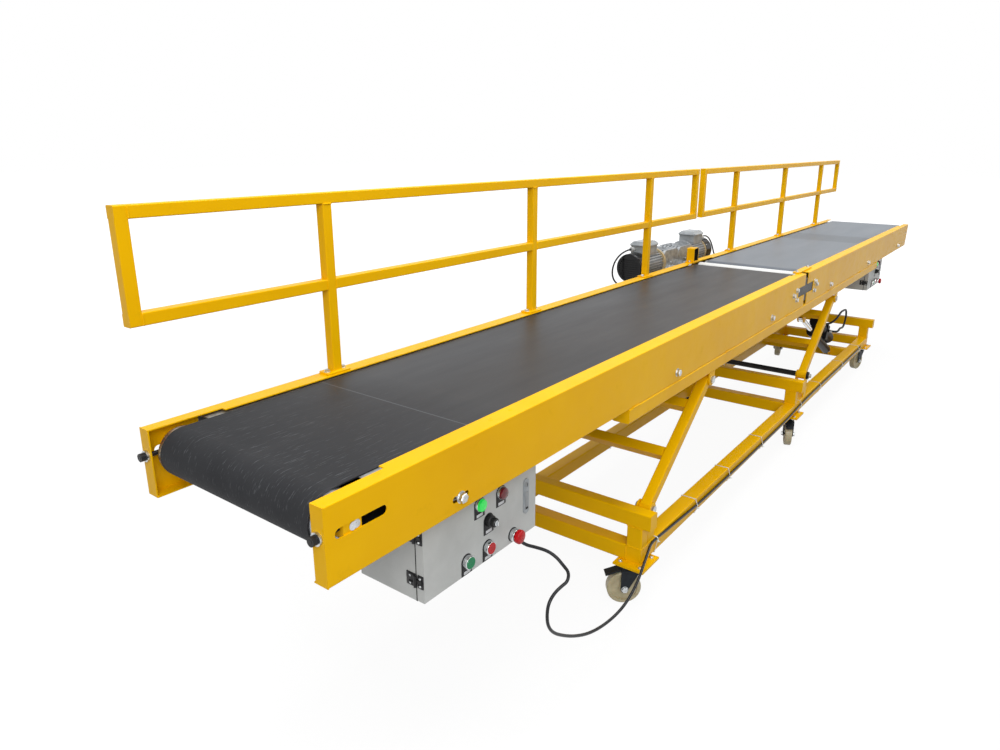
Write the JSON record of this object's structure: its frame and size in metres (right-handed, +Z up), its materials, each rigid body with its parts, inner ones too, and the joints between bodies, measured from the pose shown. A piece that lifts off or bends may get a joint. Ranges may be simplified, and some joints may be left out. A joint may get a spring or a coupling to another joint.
{
  "type": "mobile belt conveyor",
  "caption": "Wheeled two-section belt conveyor on a ram-lifted parallel-arm chassis with swivel castors, side railing, gearmotors and control boxes.",
  "frame": {"origin": "middle of the footprint, on the floor under the castors", "axes": "+X along the belts from the infeed end, +Y towards the railing side, +Z up"},
  "size_m": [6.173, 0.943, 1.4793],
  "materials": {
    "yellow_powder_coat": "satin yellow powder coat",
    "zinc_plated_steel": "zinc-plated steel",
    "black_steel": "blackened steel",
    "black_belting": "smooth PVC belting",
    "white_roller": "white plastic sleeve",
    "light_grey_paint": "light grey textured paint",
    "gearbox_alloy": "die-cast alloy",
    "motor_grey": "cast alloy, painted grey",
    "terminal_grey": "moulded grey plastic",
    "black_ram_paint": "gloss black paint",
    "chromed_rod": "hard chrome",
    "black_castor_paint": "black enamel",
    "cream_nylon": "cream nylon",
    "black_cable": "black cable sheath",
    "black_hose": "black hydraulic hose",
    "grey_gland": "pale grey moulded plastic"
  },
  "bodies": {
    "chassis": {"chassis_rails": "yellow_powder_coat", "chassis_cross_members": "yellow_powder_coat", "uprights": "yellow_powder_coat", "upper_beams": "yellow_powder_coat", "chassis_lugs": "yellow_powder_coat", "chassis_pins": "zinc_plated_steel", "rear_pivot_shaft": "black_steel", "castor_pads": "yellow_powder_coat", "castor_top_plates": "zinc_plated_steel", "cable_hanging": "black_cable", "cable_on_rail": "black_cable"},
    "front_arms": {"front_arms": "yellow_powder_coat"},
    "rear_arms": {"rear_arms": "yellow_powder_coat"},
    "transfer_roller": {"transfer_roller": "white_roller"},
    "door_near": {"control_door_near": "light_grey_paint"},
    "door_far": {"control_door_far": "light_grey_paint"},
    "ram_barrel": {"ram_barrel": "black_ram_paint", "ram_hoses": "black_hose"},
    "ram_rod": {"ram_rod": "chromed_rod"},
    "fork_front_right": {"castor_fork_front_right": "black_castor_paint"},
    "wheel_front_right": {"castor_wheel_front_right": "cream_nylon"},
    "fork_middle_right": {"castor_fork_middle_right": "black_castor_paint"},
    "wheel_middle_right": {"castor_wheel_middle_right": "cream_nylon"},
    "fork_rear_right": {"castor_fork_rear_right": "black_castor_paint"},
    "wheel_rear_right": {"castor_wheel_rear_right": "cream_nylon"},
    "fork_front_left": {"castor_fork_front_left": "black_castor_paint"},
    "wheel_front_left": {"castor_wheel_front_left": "cream_nylon"},
    "fork_middle_left": {"castor_fork_middle_left": "black_castor_paint"},
    "wheel_middle_left": {"castor_wheel_middle_left": "cream_nylon"},
    "fork_rear_left": {"castor_fork_rear_left": "black_castor_paint"},
    "wheel_rear_left": {"castor_wheel_rear_left": "cream_nylon"},
    "deck": {"arm_top_lugs": "yellow_powder_coat", "arm_top_pins": "zinc_plated_steel", "belt_front": "black_belting", "belt_rear": "black_belting", "cable_glands": "grey_gland", "channel_front_left": "yellow_powder_coat", "channel_front_right": "yellow_powder_coat", "channel_rear_left": "yellow_powder_coat", "channel_rear_right": "yellow_powder_coat", "connector_plates": "black_steel", "control_box_far": "light_grey_paint", "control_box_near": "light_grey_paint", "deck_ties": "yellow_powder_coat", "drums": "black_steel", "gearboxes": "gearbox_alloy", "motor_cables": "black_cable", "motor_front": "motor_grey", "motor_rear": "motor_grey", "railing_front": "yellow_powder_coat", "railing_rear": "yellow_powder_coat", "return_rollers": "black_steel", "slider_beds": "zinc_plated_steel", "stub_bracket": "yellow_powder_coat", "subframe_cross_members": "yellow_powder_coat", "subframe_rails": "yellow_powder_coat", "tension_screws": "black_steel", "terminal_boxes": "terminal_grey", "transfer_axle": "zinc_plated_steel"}
  },
  "joints": [
    {"name": "lift", "type": "hinge", "parent": "chassis", "child": "front_arms", "pos_m": [-1.6485, -0.1, 0.353], "axis": [0, -1, 0], "range_deg": [-17.5, 17.5], "deforming": ["cable_hanging"]},
    {"name": "deck_level", "type": "hinge", "parent": "front_arms", "child": "deck", "pos_m": [-1.17249, -0.1, 0.71826], "axis": [0, -1, 0], "range_deg": [-17.5, 17.5]},
    {"name": "rear_lift", "type": "hinge", "parent": "chassis", "child": "rear_arms", "pos_m": [0.3015, -0.1, 0.353], "axis": [0, -1, 0], "range_deg": [-17.5, 17.5]},
    {"name": "ram_swing", "type": "hinge", "parent": "chassis", "child": "ram_barrel", "pos_m": [1.4615, -0.26, 0.208], "axis": [0, 1, 0], "range_deg": [-5.3, 5.3]},
    {"name": "ram_stroke", "type": "slide", "parent": "ram_barrel", "child": "ram_rod", "axis": [-0.896, 0, 0.444], "range_m": [-0.115, 0.115]},
    {"name": "transfer_spin", "type": "hinge", "parent": "deck", "child": "transfer_roller", "pos_m": [0.1015, -0.1, 0.93526], "axis": [0, 1, 0], "continuous": true},
    {"name": "door_near_swing", "type": "hinge", "parent": "deck", "child": "door_near", "pos_m": [-2.7635, -0.3465, 0.68301], "axis": [0, 0, -1], "range_deg": [0, 110]},
    {"name": "door_far_swing", "type": "hinge", "parent": "deck", "child": "door_far", "pos_m": [1.9795, -0.3465, 0.68301], "axis": [0, 0, -1], "range_deg": [0, 110]},
    {"name": "swivel_front_right", "type": "hinge", "parent": "chassis", "child": "fork_front_right", "pos_m": [-1.7035, -0.397, 0.16], "axis": [0, 0, 1], "continuous": true},
    {"name": "roll_front_right", "type": "hinge", "parent": "fork_front_right", "child": "wheel_front_right", "pos_m": [-1.7305, -0.36483, 0.0625], "axis": [-0.766, -0.6428, 0], "continuous": true},
    {"name": "swivel_middle_right", "type": "hinge", "parent": "chassis", "child": "fork_middle_right", "pos_m": [0.1365, -0.397, 0.16], "axis": [0, 0, 1], "continuous": true},
    {"name": "roll_middle_right", "type": "hinge", "parent": "fork_middle_right", "child": "wheel_middle_right", "pos_m": [0.09703, -0.41136, 0.0625], "axis": [0.342, -0.9397, 0], "continuous": true},
    {"name": "swivel_rear_right", "type": "hinge", "parent": "chassis", "child": "fork_rear_right", "pos_m": [1.9015, -0.397, 0.16], "axis": [0, 0, 1], "continuous": true},
    {"name": "roll_rear_right", "type": "hinge", "parent": "fork_rear_right", "child": "wheel_rear_right", "pos_m": [1.86093, -0.38613, 0.0625], "axis": [-0.2588, -0.9659, 0], "continuous": true},
    {"name": "swivel_front_left", "type": "hinge", "parent": "chassis", "child": "fork_front_left", "pos_m": [-1.7035, 0.197, 0.16], "axis": [0, 0, 1], "continuous": true},
    {"name": "roll_front_left", "type": "hinge", "parent": "fork_front_left", "child": "wheel_front_left", "pos_m": [-1.73987, 0.218, 0.0625], "axis": [-0.5, -0.866, 0], "continuous": true},
    {"name": "swivel_middle_left", "type": "hinge", "parent": "chassis", "child": "fork_middle_left", "pos_m": [0.1365, 0.197, 0.16], "axis": [0, 0, 1], "continuous": true},
    {"name": "roll_middle_left", "type": "hinge", "parent": "fork_middle_left", "child": "wheel_middle_left", "pos_m": [0.1021, 0.17291, 0.0625], "axis": [0.5736, -0.8192, 0], "continuous": true},
    {"name": "swivel_rear_left", "type": "hinge", "parent": "chassis", "child": "fork_rear_left", "pos_m": [1.9015, 0.197, 0.16], "axis": [0, 0, 1], "continuous": true},
    {"name": "roll_rear_left", "type": "hinge", "parent": "fork_rear_left", "child": "wheel_rear_left", "pos_m": [1.86014, 0.18971, 0.0625], "axis": [0.1736, -0.9848, 0], "continuous": true}
  ],
  "couplings": [
    {"joint": "deck_level", "follows": "lift", "ratio": -1},
    {"joint": "rear_lift", "follows": "lift", "ratio": 1},
    {"joint": "ram_swing", "follows": "lift", "ratio": 0.298},
    {"joint": "ram_stroke", "follows": "lift", "m_per_rad": 0.3725}
  ]
}
